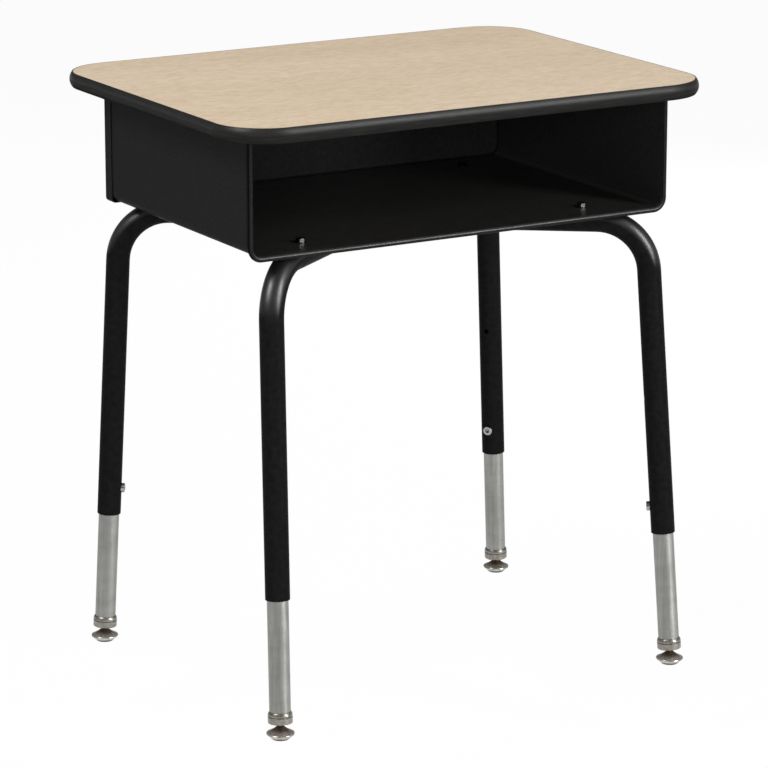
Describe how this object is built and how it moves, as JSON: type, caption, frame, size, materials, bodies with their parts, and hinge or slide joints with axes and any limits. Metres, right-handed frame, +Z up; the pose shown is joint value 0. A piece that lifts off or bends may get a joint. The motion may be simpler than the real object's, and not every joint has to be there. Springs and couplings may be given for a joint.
{
  "type": "student desk",
  "caption": "Open-front school desk: wood-grain top with a black edge band, a steel book box under it and height-adjustable tube legs on swivel glides.",
  "frame": {"origin": "on the floor under the middle of the overall outline", "axes": "+X to the writer's right, +Y away from the writer, +Z up; the box opens towards -Y"},
  "size_m": [0.6096, 0.463, 0.6795],
  "materials": {
    "laminate": "pale maple-grain laminate, fine satin texture",
    "board": "raw pressed wood board",
    "backing": "brown backing sheet",
    "edge_band": "black satin edge band",
    "box_paint": "black satin powder coat",
    "tube_paint": "black satin powder coat",
    "zinc": "bright zinc plate",
    "nickel_tube": "satin nickel plate",
    "nickel_foot": "polished nickel plate",
    "pad": "dark nylon"
  },
  "bodies": {
    "desk": {"tabletop_laminate": "laminate", "tabletop_core": "board", "tabletop_backing": "backing", "tabletop_edge_band": "edge_band", "tabletop_screws": "zinc", "book_box_pan": "box_paint", "book_box_back": "box_paint", "leg_frame_bow": "tube_paint", "leg_frame_half_front_right": "tube_paint", "leg_frame_half_rear_left": "tube_paint", "frame_screws": "zinc", "leg_lock_screws": "zinc"},
    "leg_front_left": {"leg_insert_front_left": "nickel_tube", "foot_cap_front_left": "nickel_foot"},
    "stud_front_left": {"glide_stud_front_left": "nickel_foot"},
    "glide_front_left": {"glide_shell_front_left": "nickel_foot", "glide_pad_front_left": "pad"},
    "leg_front_right": {"leg_insert_front_right": "nickel_tube", "foot_cap_front_right": "nickel_foot"},
    "stud_front_right": {"glide_stud_front_right": "nickel_foot"},
    "glide_front_right": {"glide_shell_front_right": "nickel_foot", "glide_pad_front_right": "pad"},
    "leg_rear_left": {"leg_insert_rear_left": "nickel_tube", "foot_cap_rear_left": "nickel_foot"},
    "stud_rear_left": {"glide_stud_rear_left": "nickel_foot"},
    "glide_rear_left": {"glide_shell_rear_left": "nickel_foot", "glide_pad_rear_left": "pad"},
    "leg_rear_right": {"leg_insert_rear_right": "nickel_tube", "foot_cap_rear_right": "nickel_foot"},
    "stud_rear_right": {"glide_stud_rear_right": "nickel_foot"},
    "glide_rear_right": {"glide_shell_rear_right": "nickel_foot", "glide_pad_rear_right": "pad"}
  },
  "joints": [
    {"name": "leg_extension_front_left", "type": "slide", "parent": "desk", "child": "leg_front_left", "axis": [-0.0281, -0.0818, -0.9962], "range_m": [-0.125, 0.09]},
    {"name": "glide_swivel_front_left", "type": "hinge", "parent": "leg_front_left", "child": "stud_front_left", "pos_m": [-0.2566, -0.2158, 0.01], "axis": [0.0281, 0.0818, 0.9962], "continuous": true},
    {"name": "glide_tilt_front_left", "type": "hinge", "parent": "stud_front_left", "child": "glide_front_left", "pos_m": [-0.2566, -0.2158, 0.01], "axis": [-0.9457, 0.3251, 0], "range_deg": [-10, 10]},
    {"name": "leg_extension_front_right", "type": "slide", "parent": "desk", "child": "leg_front_right", "axis": [0.0281, -0.0818, -0.9962], "range_m": [-0.125, 0.09]},
    {"name": "glide_swivel_front_right", "type": "hinge", "parent": "leg_front_right", "child": "stud_front_right", "pos_m": [0.2566, -0.2158, 0.01], "axis": [-0.0281, 0.0818, 0.9962], "continuous": true},
    {"name": "glide_tilt_front_right", "type": "hinge", "parent": "stud_front_right", "child": "glide_front_right", "pos_m": [0.2566, -0.2158, 0.01], "axis": [-0.9457, -0.3251, 0], "range_deg": [-10, 10]},
    {"name": "leg_extension_rear_left", "type": "slide", "parent": "desk", "child": "leg_rear_left", "axis": [-0.0473, 0.0205, -0.9987], "range_m": [-0.125, 0.09]},
    {"name": "glide_swivel_rear_left", "type": "hinge", "parent": "leg_rear_left", "child": "stud_rear_left", "pos_m": [-0.2708, 0.1884, 0.01], "axis": [0.0473, -0.0205, 0.9987], "continuous": true},
    {"name": "glide_tilt_rear_left", "type": "hinge", "parent": "stud_rear_left", "child": "glide_rear_left", "pos_m": [-0.2708, 0.1884, 0.01], "axis": [0.3976, 0.9176, 0], "range_deg": [-10, 10]},
    {"name": "leg_extension_rear_right", "type": "slide", "parent": "desk", "child": "leg_rear_right", "axis": [0.0473, 0.0205, -0.9987], "range_m": [-0.125, 0.09]},
    {"name": "glide_swivel_rear_right", "type": "hinge", "parent": "leg_rear_right", "child": "stud_rear_right", "pos_m": [0.2708, 0.1884, 0.01], "axis": [-0.0473, -0.0205, 0.9987], "continuous": true},
    {"name": "glide_tilt_rear_right", "type": "hinge", "parent": "stud_rear_right", "child": "glide_rear_right", "pos_m": [0.2708, 0.1884, 0.01], "axis": [0.3976, -0.9176, 0], "range_deg": [-10, 10]}
  ]
}
